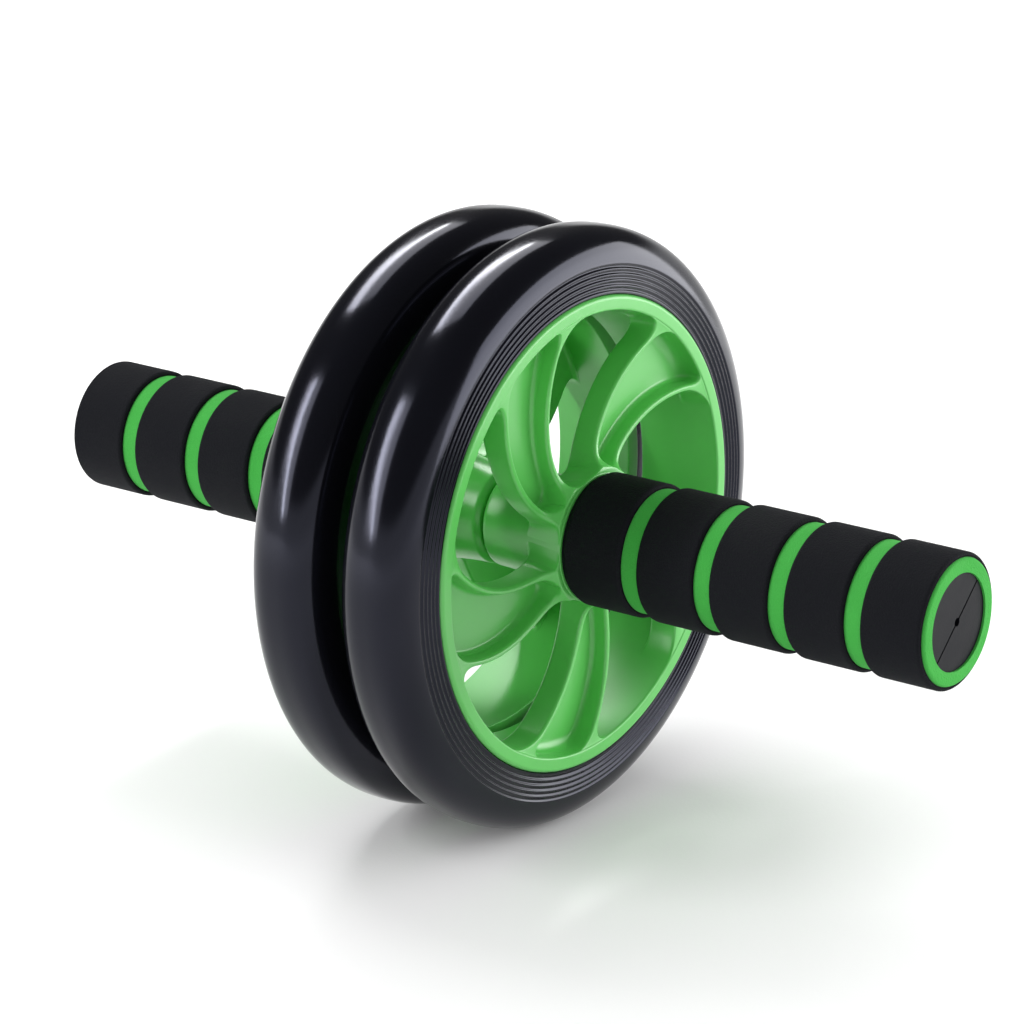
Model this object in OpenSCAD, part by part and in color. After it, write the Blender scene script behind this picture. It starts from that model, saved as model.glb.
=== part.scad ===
// Twin-wheel ab roller: two tyred wheels that turn freely on one steel axle,
// with a two-layer foam grip on a moulded core at each end.
// The axle lies along X, Z is up, and the origin is the middle of the axle.

/* [Tyres] */
// Outer diameter of each tyre
tyre_d = 185; // [165:1:210]
// Width of each tyre
tyre_w = 26.4; // [24:0.2:32]
// Gap between the two tyres
tyre_gap = 6.6; // [4:0.2:10]
// Thickness of the rubber from its seat on the rim to the tread
tyre_h = 21.2; // [18:0.2:26]
// Height of the flat side wall before the crown begins
side_h = 2.6; // [2:0.1:5]
// Power of the crown's superellipse: 2 is round, more is squarer
crown_power = 2.7; // [2:0.1:3.5]
// Number of fine rings moulded on the outer side wall
ring_count = 5; // [0:1:7]
// Distance from one ring to the next
ring_pitch = 1.7; // [1.2:0.1:2]
// Depth of the valleys between the rings
ring_depth = 0.45; // [0.2:0.05:0.8]
// Plain margin between the rim and the first ring
ring_margin = 0.8; // [0.4:0.1:1.5]

/* [Hub rim] */
// Height of the rim flanges above the seat of the tyre
lip_h = 1.6; // [1:0.1:2.5]
// Thickness of the rim flanges along the axle
lip_t = 1.5; // [1:0.1:2.5]
// How far the rim face stands out past the tyre's side
lip_proud = 0.8; // [0.2:0.1:2]
// Rounding of the outer lip's edge
lip_round = 1.2; // [0.4:0.1:1.4]
// Thickness of the rim wall at its outer face
rim_wall = 3; // [2:0.1:4]
// Draft of the rim wall: how much thicker it is at its inner edge
rim_draft = 1.2; // [0.5:0.1:3]

/* [Hub spokes] */
// Number of spokes
spoke_count = 5; // [4:1:6]
// Angle between the two ribs of a spoke
spoke_angle = 26.6; // [20:0.2:32]
// Angle that a spoke sweeps back from the boss to the rim
swirl = 26.5; // [10:0.5:40]
// Power of the sweep: 1 turns steadily, more keeps the spoke straighter near the boss
sweep_power = 1.4; // [1:0.1:2]
// Turn of the right wheel at rest
right_turn = 67.6; // [0:0.1:72]
// Turn of the left wheel at rest
left_turn = 22.5; // [0:0.1:72]
// Thickness of a rib
rib_t = 2.4; // [1.8:0.1:3.5]
// Depth of a rib from its top edge to the back of the spoke
rib_depth = 7.7; // [6:0.1:12]
// Depth of the rib tops below the face of the rim, at the boss
rib_drop = 2.2; // [1:0.1:5]
// How far the rib tops climb towards the face of the rim
rim_rise = 1.9; // [0:0.1:2.2]
// Thickness of the web that closes each spoke's pocket
web_t = 2.8; // [1.6:0.1:3.5]
// Fillet in the corners where a spoke meets the rim
rim_fillet = 8; // [3:0.5:10]
// Fillet in the corners where a spoke meets the boss
boss_fillet = 5; // [2:0.2:6]
// Fillet in the corners of a pocket
pocket_fillet = 4.5; // [2:0.5:5]
// Fillet by which a pocket's floor curves up into the rim
floor_fillet = 4.5; // [2:0.5:5]
// Wall between a pocket and the boss
pocket_wall = 2.5; // [1.5:0.1:4]

/* [Hub boss] */
// Diameter of the boss at the middle of the roller
boss_d = 30; // [28:0.5:34]
// Diameter of the boss where it flares out to the handle
boss_end_d = 40; // [38:0.5:46]
// How far the end of the boss stands out past the face of the rim
boss_proud = 3.2; // [2:0.1:6]
// Gap between the bosses of the two wheels
boss_gap = 0.9; // [0.6:0.1:2]
// Bevel on the boss's inner end
boss_bevel = 1.5; // [0.5:0.1:2]
// Distance over which the rib tops climb to the flared end
rise_len = 3.5; // [2:0.1:6]

/* [Axle and bearings] */
// Diameter of the axle
axle_d = 12; // [10:0.5:14]
// Length of the axle
axle_len = 226; // [180:1:250]
// Bevel on the axle's ends
axle_bevel = 0.8; // [0.4:0.1:1.5]
// Diameter of the necks near the axle's ends
neck_d = 9.4; // [8:0.2:9.8]
// Width of each neck
neck_w = 4; // [3:0.5:6]
// Distance from the end of the axle to the neck
neck_inset = 8; // [5:0.5:12]
// Outer diameter of the bushes
bush_d = 17; // [16:0.5:20]
// Length of a bush behind its flange
bush_len = 11; // [8:0.5:13]
// Diameter of a bush's flange
flange_d = 22; // [21:0.5:25]
// Thickness of a bush's flange
flange_t = 1.5; // [1:0.1:2]
// Outer diameter of the washers
washer_d = 21; // [19:0.5:23]
// Thickness of the washers
washer_t = 1.2; // [0.8:0.1:2]
// Radial clearance of the bushes and washers on the axle
run_clear = 0.05; // [0.03:0.01:0.1]
// Gap between parts that turn past each other
side_clear = 0.3; // [0.25:0.05:0.5]
// Radial clearance of the flanges and washers in the hub's recesses
recess_clear = 0.4; // [0.3:0.05:0.8]

/* [Handles] */
// Length of the roller over the ends of its grips
overall_len = 318; // [300:1:360]
// Diameter of the moulded core inside each grip
core_d = 29; // [27:0.5:31]
// Wall of the core
core_wall = 2.2; // [1.6:0.1:3]
// Diameter of the collar that holds the grip away from the wheel
collar_d = 38.6; // [36:0.2:40]
// Thickness of the collar
collar_t = 1; // [0.8:0.1:2]
// Number of supports that hold the axle inside a core
saddle_count = 4; // [3:1:5]
// Thickness of a support
saddle_t = 3; // [2:0.5:4]
// Thickness of the core's end wall
end_wall = 2.6; // [2:0.1:4]
// Depth of the end wall below the end of the grip
plug_depth = 0.8; // [0.3:0.1:2]
// Diameter of the hole in the middle of the end wall
end_hole_d = 2.6; // [1.5:0.1:4]
// Angle of the plane in which the core is split
split_turn = 43; // [0:1:90]
// Diameter of the pegs that line up the halves of a core
peg_d = 2.4; // [2:0.1:3]
// Length of the pegs
peg_len = 2.5; // [2:0.1:4]
// Clearance of the pegs in their holes
peg_clear = 0.1; // [0.05:0.05:0.2]
// Width of the groove along the split line on the end wall
seam_w = 0.6; // [0.3:0.1:1]
// Depth of that groove
seam_depth = 0.5; // [0.2:0.1:1]

/* [Grips] */
// Thickness of the inner foam layer
sleeve_t = 4.4; // [3.5:0.1:6]
// Thickness of the outer foam bands
band_t = 1.45; // [1:0.05:2.5]
// Number of bands on a grip
band_count = 5; // [3:1:7]
// Width of the groove between two bands
groove_w = 5.5; // [4:0.5:8]
// How far the inner layer stands out past the last band
sleeve_proud = 0.8; // [0.2:0.1:2]
// Bevel on the edges of the foam
foam_bevel = 0.6; // [0.3:0.1:0.9]

/* [Hidden] */
BAND_NAMES = ["band_1", "band_2", "band_3", "band_4", "band_5"];

$fn = 96;

green = "#4FB551";
green_foam = "#46A84A";
black_foam = "#1B1C21";
black_rubber = "#17181C";
black_plastic = "#2A2C36";
steel = "silver";
nylon = "ivory";

// How far a cutting shape runs past the face that it cuts
past = 1;

// Radii of the tyre and of the rim that carries it
tyre_r = tyre_d / 2;
seat_r = tyre_r - tyre_h;
lip_r = seat_r + lip_h;
axle_r = axle_d / 2;
bush_r = bush_d / 2;

// Places along the axle, measured from the middle of the roller
tyre_in = tyre_gap / 2;
tyre_out = tyre_in + tyre_w;
tyre_mid = tyre_in + tyre_w / 2;
rim_out = tyre_out + lip_proud;
rim_in = tyre_in - lip_proud;
seat_in = rim_in + lip_t;
seat_out = rim_out - lip_t;
boss_in = boss_gap / 2;
boss_out = rim_out + boss_proud;
rib_top = rim_out - rib_drop;
rib_back = rib_top - rib_depth;

// Inner face of the rim wall, which thickens towards the middle of the roller
rim_open_r = seat_r - rim_wall;
function rim_r(x) = rim_open_r - rim_draft * (rim_out - x) / (rim_out - rim_in);
web_rim_r = rim_r((rib_top + rib_back) / 2);

// The boss is a trumpet: a power curve from its inner end to its flared end
boss_r = boss_d / 2;
boss_end_r = boss_end_d / 2;
boss_power = 2;
function boss_radius(x) =
    boss_r + (boss_end_r - boss_r) * pow((x - boss_in) / (boss_out - boss_in), boss_power);
root_r = (boss_radius(rib_back) + boss_radius(rib_top)) / 2;

// Washers, bushes and cores are placed outwards from what they run against
centre_face = washer_t / 2;
inner_flange = centre_face + side_clear;
core_in = boss_out + side_clear;
thrust_in = core_in - washer_t;
outer_flange = thrust_in - side_clear - flange_t;
recess_r = flange_d / 2 + recess_clear;

// Handles
grip_end = overall_len / 2;
core_end = grip_end - plug_depth;
core_r = core_d / 2;
sleeve_in = core_in + collar_t;
sleeve_r = core_r + sleeve_t;
band_r = sleeve_r + band_t;
band_end = grip_end - sleeve_proud;
band_w = (band_end - sleeve_in - (band_count - 1) * groove_w) / band_count;
band_pitch = band_w + groove_w;
neck_at = axle_len / 2 - neck_inset - neck_w / 2;
saddle_first = core_in + saddle_t;
saddle_pitch = (neck_at - saddle_first) / (saddle_count - 1);
peg_at = (core_r - core_wall + axle_r) / 2;

// Turns a shape drawn about Z so that it lies along the axle: its own Z runs along +X,
// and an angle in its own XY plane is measured from +Y towards +Z
module along_axle() {
    rotate([90, 0, 90])
        children();
}

// The left side is the right side turned end for end, as the same moulding is on the bench
module left_side() {
    rotate([0, 0, 180])
        children();
}

function polar(r, a) = [r * cos(a), r * sin(a)];

// How far a fillet stands off its wall, d away from the corner
function fillet(d, radius) =
    d >= radius ? 0 : radius - sqrt(max(0, pow(radius, 2) - pow(radius - max(d, 0), 2)));

// Radius r as a share of the way from the boss to the rim
function along_spoke(r) = max(0, r - root_r) / (web_rim_r - root_r);

// Turn of a spoke's centre line at radius r: a spiral from the boss to the rim
function sweep(r) = -swirl * pow(along_spoke(r), sweep_power);

// Radii that are closer together where the fillets are
function radii(from, to, from_fillet, to_fillet) = concat(
    [for (a = [0:18:90]) from + from_fillet * (1 - cos(a))],
    [for (i = [1:5]) from + from_fillet + (to - to_fillet - from - from_fillet) * i / 6],
    [for (a = [90:-15:0]) to - to_fillet * (1 - cos(a))]
);

// Half the angle that a spoke covers at radius r, with its ribs and its fillets
function spoke_half(r) =
    spoke_angle / 2
    + (rib_t / 2 + fillet(web_rim_r - r, rim_fillet) + fillet(r - root_r, boss_fillet)) / r * 180 / PI;

// Half the angle that a pocket covers at radius r, inside the ribs
function pocket_half(r) = max(0.2,
    spoke_angle / 2
    - (rib_t / 2 + fillet(web_rim_r - r, pocket_fillet) + fillet(r - pocket_in, pocket_fillet))
        / r * 180 / PI);

pocket_in = root_r + pocket_wall;

// Outline of a spoke, run on into the boss and into the rim wall
module spoke_outline() {
    start = boss_r - rib_t;
    end = web_rim_r + rim_wall / 2;
    steps = concat([start], radii(root_r, web_rim_r, boss_fillet, rim_fillet));
    tip = spoke_half(end);
    polygon(concat(
        [for (r = steps) polar(r, sweep(max(r, root_r)) - spoke_half(max(r, root_r)))],
        [for (i = [0:8]) polar(end, sweep(web_rim_r) - tip + tip * i / 4)],
        [for (i = [len(steps) - 1:-1:0])
            polar(steps[i], sweep(max(steps[i], root_r)) + spoke_half(max(steps[i], root_r)))]
    ));
}

// Outline of the pocket in a spoke, run on into the rim wall
module pocket_outline() {
    end = web_rim_r + rim_wall / 2;
    steps = radii(pocket_in, web_rim_r, pocket_fillet, pocket_fillet);
    tip = pocket_half(web_rim_r);
    polygon(concat(
        [for (r = steps) polar(r, sweep(r) - pocket_half(r))],
        [for (i = [0:6]) polar(end, sweep(web_rim_r) - tip + tip * i / 3)],
        [for (i = [len(steps) - 1:-1:0]) polar(steps[i], sweep(steps[i]) + pocket_half(steps[i]))]
    ));
}

// Height of the rib tops at radius r: lowest in the middle, with a climb to the flared end of
// the boss and a gentler one to the rim
function rib_height(r) =
    rib_top
    + rim_rise * pow(along_spoke(r), 2)
    + (boss_out - rib_top) * exp(-(r - boss_end_r) / rise_len);

// The space that a pocket may fill, turned about the axle: its floor curves up into the rim
module pocket_envelope() {
    floor_at = rib_back + web_t;
    bend_r = web_rim_r - floor_fillet;
    rotate_extrude()
        polygon(concat(
            [[bush_r, boss_out + past], [bush_r, floor_at]],
            [for (a = [0:18:90])
                [bend_r + floor_fillet * sin(a), floor_at + floor_fillet * (1 - cos(a))]],
            [[web_rim_r, boss_out + past]]
        ));
}

// The space that the spokes may fill, turned about the axle
module spoke_envelope() {
    top = [for (i = [0:18]) boss_end_r + (web_rim_r + rim_wall / 2 - boss_end_r) * pow(i / 18, 1.6)];
    rotate_extrude()
        polygon(concat(
            [[bush_r, rib_back], [bush_r, boss_out]],
            [for (r = top) [r, rib_height(r)]],
            [[web_rim_r + rim_wall / 2, rib_back]]
        ));
}

module spokes() {
    intersection() {
        spoke_envelope();
        for (k = [0:spoke_count - 1])
            rotate([0, 0, k * 360 / spoke_count])
                difference() {
                    translate([0, 0, rib_back])
                        linear_extrude(boss_out - rib_back)
                            spoke_outline();
                    intersection() {
                        pocket_envelope();
                        translate([0, 0, rib_back])
                            linear_extrude(boss_out - rib_back + 2 * past)
                                pocket_outline();
                    }
                }
    }
}

// Rim: a drafted wall with a flange at each edge, and a rounded outer lip
module rim() {
    outer_round = min(lip_round, lip_t);
    inner_round = lip_t / 3;
    rotate_extrude()
        polygon(concat(
            [
                [rim_r(rim_in), rim_in], [seat_r + lip_h / 2, rim_in], [seat_r + lip_h / 2, seat_in],
                [seat_r, seat_in], [seat_r, seat_out], [lip_r, seat_out]
            ],
            [for (a = [0:22.5:90])
                [lip_r - outer_round * (1 - cos(a)), rim_out - outer_round * (1 - sin(a))]],
            [for (a = [90:30:180])
                [rim_open_r + inner_round * (1 + cos(a)), rim_out - inner_round * (1 - sin(a))]]
        ));
}

module boss() {
    from = boss_in + boss_bevel;
    steps = [for (i = [0:12]) from + (boss_out - from) * i / 12];
    rotate_extrude()
        polygon(concat(
            [[bush_r, boss_out], [bush_r, boss_in], [boss_r - boss_bevel, boss_in]],
            [for (x = steps) [boss_radius(x), x]]
        ));
}

// Bore for the bushes, with a recess at each end for their flanges and the washers
module hub_bore() {
    translate([0, 0, boss_in - past])
        cylinder(r = bush_r, h = boss_out - boss_in + 2 * past);
    translate([0, 0, boss_in - past])
        cylinder(r = recess_r, h = inner_flange + flange_t - boss_in + past);
    translate([0, 0, outer_flange])
        cylinder(r = recess_r, h = boss_out - outer_flange + past);
}

// Hub moulding: rim, boss and swept spokes in one piece
module hub(turn) {
    color(green)
        along_axle()
            rotate([0, 0, turn])
                difference() {
                    union() {
                        rim();
                        boss();
                        spokes();
                    }
                    hub_bore();
                }
}

// Half the tyre's width at radius r, on its rounded crown
crown_r = lip_r + side_h;
function crown_half(r) =
    tyre_w / 2 * pow(1 - pow(max(0, min(1, (r - crown_r) / (tyre_r - crown_r))), crown_power),
        1 / crown_power);

// Depth of the moulded rings at radius r on the outer side wall
ring_from = lip_r + ring_margin;
ring_to = ring_from + ring_count * ring_pitch;
function ring(r) =
    r < ring_from || r > ring_to ? 0 : ring_depth * pow(sin(180 * (r - ring_from) / ring_pitch), 2);

// Tyre: a solid rubber ring whose bore locks between the flanges of the rim
module tyre() {
    crown_top = [for (a = [0:7.5:82.5]) crown_r + (tyre_r - crown_r) * pow(cos(a), 2 / crown_power)];
    inner_radii = [for (i = [len(crown_top) - 1:-1:0]) crown_top[i]];
    ring_radii = [for (i = [0:ring_count * 4]) ring_from + i * ring_pitch / 4];
    outer_radii = [for (r = crown_top) if (r > ring_to) r];
    color(black_rubber)
        along_axle()
            rotate_extrude()
                polygon(concat(
                    [
                        [seat_r, seat_out], [seat_r, seat_in],
                        [seat_r + lip_h / 2, seat_in], [seat_r + lip_h / 2, tyre_in]
                    ],
                    [for (r = inner_radii) [r, tyre_mid - crown_half(r)]],
                    [for (r = outer_radii) if (r < tyre_r) [r, tyre_mid + crown_half(r)]],
                    [for (i = [len(ring_radii) - 1:-1:0])
                        [ring_radii[i], tyre_mid + crown_half(ring_radii[i]) - ring(ring_radii[i])]],
                    [[lip_r, tyre_out], [lip_r, seat_out]]
                ));
}

// Flanged bush, with its flange on the side that the washer faces
module bush(flange_at, body_to) {
    low = min(flange_at, body_to);
    high = max(flange_at + flange_t, body_to);
    color(nylon)
        along_axle()
            difference() {
                union() {
                    translate([0, 0, low])
                        cylinder(r = bush_r, h = high - low);
                    translate([0, 0, flange_at])
                        cylinder(r = flange_d / 2, h = flange_t);
                }
                translate([0, 0, low - past])
                    cylinder(r = axle_r + run_clear, h = high - low + 2 * past);
            }
}

module bush_inner() {
    bush(inner_flange, inner_flange + flange_t + bush_len);
}

module bush_outer() {
    bush(outer_flange, outer_flange - bush_len);
}

module washer(from) {
    color(steel)
        along_axle()
            translate([0, 0, from])
                difference() {
                    cylinder(r = washer_d / 2, h = washer_t);
                    translate([0, 0, -past])
                        cylinder(r = axle_r + run_clear, h = washer_t + 2 * past);
                }
}

// Turned steel axle with bevelled ends and a neck near each end
module axle() {
    half = axle_len / 2;
    neck_r = neck_d / 2;
    from = neck_at - neck_w / 2;
    to = neck_at + neck_w / 2;
    color(steel)
        along_axle()
            rotate_extrude()
                polygon([
                    [0, -half], [axle_r - axle_bevel, -half], [axle_r, axle_bevel - half],
                    [axle_r, -to], [neck_r, -to], [neck_r, -from], [axle_r, -from],
                    [axle_r, from], [neck_r, from], [neck_r, to], [axle_r, to],
                    [axle_r, half - axle_bevel], [axle_r - axle_bevel, half], [0, half]
                ]);
}

// Whole core before it is split: shell, collar, end wall and the supports for the axle
module core_body() {
    shell_r = core_r - core_wall;
    difference() {
        union() {
            translate([0, 0, core_in])
                cylinder(r = collar_d / 2, h = collar_t);
            translate([0, 0, core_in])
                cylinder(r = core_r, h = core_end - core_in);
        }
        for (i = [0:saddle_count - 2])
            translate([0, 0, saddle_first + i * saddle_pitch + saddle_t / 2])
                cylinder(r = shell_r, h = saddle_pitch - saddle_t);
        translate([0, 0, neck_at + saddle_t / 2])
            cylinder(r = shell_r, h = core_end - end_wall - neck_at - saddle_t / 2);
        translate([0, 0, core_in - past])
            cylinder(r = axle_r, h = neck_at - saddle_t / 2 - core_in + past);
        translate([0, 0, neck_at - saddle_t])
            cylinder(r = neck_d / 2, h = 2 * saddle_t);
        translate([0, 0, core_end - end_wall - past])
            cylinder(d = end_hole_d, h = end_wall + 2 * past);
    }
}

// Pegs that line up the halves, one in each support but the last
module pegs(extra, side) {
    for (i = [0:saddle_count - 2])
        translate([side * peg_at, 0, saddle_first + i * saddle_pitch])
            rotate([-90, 0, 0])
                translate([0, 0, -past])
                    cylinder(d = peg_d + 2 * extra, h = peg_len + extra + past);
}

// One half of a core: the upper half carries the holes, the lower half the pegs
module core_half(upper) {
    big = collar_d;
    color(black_plastic)
        along_axle()
            rotate([0, 0, split_turn]) {
                difference() {
                    intersection() {
                        core_body();
                        translate([-big, upper ? 0 : -big, core_in - past])
                            cube([2 * big, big, core_end - core_in + 2 * past]);
                    }
                    translate([-big, -seam_w / 2, core_end - seam_depth])
                        cube([2 * big, seam_w, seam_depth + past]);
                    if (upper)
                        for (side = [-1, 1])
                            pegs(peg_clear, side);
                }
                if (!upper)
                    for (side = [-1, 1])
                        pegs(0, side);
            }
}

// Foam tube with bevelled outer edges
module foam_tube(inner, outer, from, to) {
    along_axle()
        rotate_extrude()
            polygon([
                [inner, from], [outer - foam_bevel, from], [outer, from + foam_bevel],
                [outer, to - foam_bevel], [outer - foam_bevel, to], [inner, to]
            ]);
}

module sleeve() {
    color(green_foam)
        foam_tube(core_r, sleeve_r, sleeve_in, grip_end);
}

module band(i) {
    from = sleeve_in + i * band_pitch;
    color(black_foam)
        foam_tube(sleeve_r, band_r, from, from + band_w);
}

axle();
washer(-centre_face);  // centre_washer

hub(right_turn);  // hub_right
tyre();  // tyre_right
bush_outer();  // bush_right_outer
bush_inner();  // bush_right_inner

left_side() hub(left_turn);  // hub_left
left_side() tyre();  // tyre_left
left_side() bush_outer();  // bush_left_outer
left_side() bush_inner();  // bush_left_inner

washer(thrust_in);  // thrust_washer_right
core_half(true);  // core_upper_right
core_half(false);  // core_lower_right
sleeve();  // sleeve_right

left_side() washer(thrust_in);  // thrust_washer_left
left_side() core_half(true);  // core_upper_left
left_side() core_half(false);  // core_lower_left
left_side() sleeve();  // sleeve_left

for (i = [0:band_count - 1]) {
    band(i);
    left_side() band(i);
}
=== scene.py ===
"""Twin-wheel ab roller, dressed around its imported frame.

The axle lies along X, Z is up and the origin is the middle of the axle. Sizes are in millimetres
until a mesh is made. Every shape is worked out for the +X side, and the -X side is the same
moulding turned end for end.
"""

import logging
import math
from dataclasses import dataclass
from enum import Enum

import bpy
import numpy as np
from mathutils import Matrix, Vector

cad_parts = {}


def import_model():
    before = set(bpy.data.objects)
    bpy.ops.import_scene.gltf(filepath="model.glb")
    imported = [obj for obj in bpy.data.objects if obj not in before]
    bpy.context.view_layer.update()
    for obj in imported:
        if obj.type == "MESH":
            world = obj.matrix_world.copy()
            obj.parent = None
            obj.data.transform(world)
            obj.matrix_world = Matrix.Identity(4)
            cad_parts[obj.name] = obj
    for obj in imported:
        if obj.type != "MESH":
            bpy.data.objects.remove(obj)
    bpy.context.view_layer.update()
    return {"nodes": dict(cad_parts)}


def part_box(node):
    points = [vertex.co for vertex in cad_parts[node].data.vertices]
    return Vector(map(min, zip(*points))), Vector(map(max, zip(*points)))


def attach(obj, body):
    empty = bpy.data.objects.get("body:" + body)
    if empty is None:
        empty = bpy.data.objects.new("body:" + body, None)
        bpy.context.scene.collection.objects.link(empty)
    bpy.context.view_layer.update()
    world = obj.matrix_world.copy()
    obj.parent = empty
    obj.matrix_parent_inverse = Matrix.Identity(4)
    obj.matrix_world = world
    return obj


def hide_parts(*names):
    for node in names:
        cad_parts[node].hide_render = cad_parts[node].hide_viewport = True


LOG = logging.getLogger("ab_roller")
MM = 0.001
TURN = 2 * math.pi
QUARTER_TURN = math.pi / 2
WHITE = (1.0, 1.0, 1.0, 1.0)
Array = np.ndarray


class Side(Enum):
    """The end of the axle that a piece sits on."""

    RIGHT = "right"
    LEFT = "left"

    @property
    def body(self) -> str:
        """Name of the frame's body that carries this side's wheel."""
        return f"{self.value}_wheel"


# How far each hub is turned about the axle at rest, as in the part's source
HUB_TURN_DEG = {Side.RIGHT: 67.6, Side.LEFT: 22.5}


# Surfaces worked out with arrays


@dataclass(frozen=True)
class Skin:
    """A surface of four-cornered faces.

    Args:
        points: Places of the corners in millimetres, one row each.
        faces: Four corner numbers a face. A repeated number makes it a triangle.
    """

    points: Array
    faces: Array

    @classmethod
    def from_grid(cls, grid: Array, wrap_rows: bool, wrap_columns: bool) -> "Skin":
        """Joins neighbouring points of a grid with faces.

        Args:
            grid: Points with the shape (rows, columns, 3).
            wrap_rows: Whether the last row joins the first.
            wrap_columns: Whether the last column joins the first.

        Returns:
            The surface through all the grid's points.
        """
        rows, columns = grid.shape[:2]
        number = np.arange(rows * columns).reshape(rows, columns)
        if wrap_rows:
            number = np.vstack([number, number[:1]])
        if wrap_columns:
            number = np.hstack([number, number[:, :1]])
        faces = np.stack(
            [number[:-1, :-1], number[1:, :-1], number[1:, 1:], number[:-1, 1:]], axis=-1
        )
        return cls(grid.reshape(-1, 3), faces.reshape(-1, 4))

    def volume(self) -> float:
        """Signed volume: the sum of the tetrahedra between the origin and each face's triangles."""
        a, b, c, d = (self.points[self.faces[:, i]] for i in range(4))
        return float(np.sum(a * np.cross(b, c)) + np.sum(a * np.cross(c, d))) / 6

    def outward(self) -> "Skin":
        """The same closed surface with its faces turned outwards."""
        return self if self.volume() > 0 else Skin(self.points, self.faces[:, ::-1])

    def on_side(self, side: Side) -> "Skin":
        """Takes the surface to its side of the roller.

        Formula: half a turn about Z takes (x, y, z) to (-x, -y, z).

        Args:
            side: The end of the axle that it is for.

        Returns:
            The surface itself for the right side, and a turned copy for the left.
        """
        if side is Side.RIGHT:
            return self
        return Skin(self.points * np.array([-1.0, -1.0, 1.0]), self.faces)


def make_object(name: str, skins: list[Skin], crease_deg: float) -> bpy.types.Object:
    """Makes one Blender object of closed surfaces.

    Args:
        name: Name of the object and of its mesh.
        skins: The closed surfaces, in millimetres.
        crease_deg: Edges that turn by more than this angle are shaded as sharp.

    Returns:
        The object, at the origin, with its place in its mesh.
    """
    shells = [skin.outward() for skin in skins]
    starts = np.cumsum([0] + [len(shell.points) for shell in shells[:-1]])
    points = np.concatenate([shell.points for shell in shells]) * MM
    faces = np.concatenate([shell.faces + start for shell, start in zip(shells, starts)])
    # A corner that repeats the one after it is left out of its face
    kept = faces != np.roll(faces, -1, axis=1)
    sizes = kept.sum(axis=1)
    corners = faces[kept]
    mesh = bpy.data.meshes.new(name)
    mesh.vertices.add(len(points))
    mesh.vertices.foreach_set("co", points.astype(np.float32).ravel())
    mesh.loops.add(len(corners))
    mesh.loops.foreach_set("vertex_index", corners.astype(np.int32))
    mesh.polygons.add(len(sizes))
    mesh.polygons.foreach_set("loop_start", (np.cumsum(sizes) - sizes).astype(np.int32))
    mesh.update(calc_edges=True)
    mesh.validate()
    mesh.polygons.foreach_set("use_smooth", np.ones(len(mesh.polygons), dtype=bool))
    mesh.set_sharp_from_angle(angle=math.radians(crease_deg))
    piece = bpy.data.objects.new(name, mesh)
    bpy.context.scene.collection.objects.link(piece)
    return piece


def revolve(outline: Array, steps: int) -> Skin:
    """Turns a closed outline about the axle.

    Formula: the outline's point (x, r) at the angle t goes to (x, r cos t, r sin t).

    Args:
        outline: Rows of x and radius, without a repeated last point.
        steps: Number of steps round the axle.

    Returns:
        The closed ring.
    """
    angle = np.linspace(0, TURN, steps, endpoint=False)
    x, r = outline[:, :1], outline[:, 1:]
    grid = np.stack([x + 0 * angle, r * np.cos(angle), r * np.sin(angle)], axis=-1)
    return Skin.from_grid(grid, wrap_rows=True, wrap_columns=True)


def rounded(corners: Array, radii: Array, steps: int = 8, run_on: float = 0.15) -> Array:
    """Rounds the corners of a closed outline.

    Formula: each arc touches both sides at r / tan(a / 2) from a corner of angle a, and its
    centre is r / sin(a / 2) away along the bisector. A point a little past each end of the arc,
    at most half way from there to the middle of the side, keeps the flat sides flat when they
    are shaded.

    Args:
        corners: Rows of x and radius, in order round the outline.
        radii: One radius a corner, all above zero.
        steps: Number of steps along each arc.
        run_on: How far past the arc the extra points lie.

    Returns:
        The rounded outline.
    """
    back = np.roll(corners, 1, axis=0) - corners
    ahead = np.roll(corners, -1, axis=0) - corners
    back_length = np.linalg.norm(back, axis=1, keepdims=True)
    ahead_length = np.linalg.norm(ahead, axis=1, keepdims=True)
    u, v = back / back_length, ahead / ahead_length
    corner_angle = np.arccos(np.clip(np.sum(u * v, axis=1, keepdims=True), -1, 1))
    radius = radii.reshape(-1, 1)
    touch = radius / np.tan(corner_angle / 2)
    bisector = (u + v) / np.linalg.norm(u + v, axis=1, keepdims=True)
    centre = corners + bisector * radius / np.sin(corner_angle / 2)
    start, end = corners + u * touch - centre, corners + v * touch - centre
    arc_angle = (math.pi - corner_angle)[:, None]
    t = np.linspace(0, 1, steps + 1).reshape(1, -1, 1)
    arcs = np.sin((1 - t) * arc_angle) * start[:, None] + np.sin(t * arc_angle) * end[:, None]
    arcs = centre[:, None] + arcs / np.sin(arc_angle)
    before = corners + u * np.minimum(run_on + touch, (touch + back_length / 2) / 2)
    after = corners + v * np.minimum(run_on + touch, (touch + ahead_length / 2) / 2)
    return np.concatenate([before[:, None], arcs, after[:, None]], axis=1).reshape(-1, 2)


def fillet(distance: Array, radius: float) -> Array:
    """How far a fillet stands off its wall.

    Formula: r - sqrt(r^2 - (r - d)^2) at the distance d from the corner, and nothing past r.
    """
    inside = radius - np.clip(distance, 0, radius)
    return radius - np.sqrt(np.maximum(radius**2 - inside**2, 0))


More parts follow.
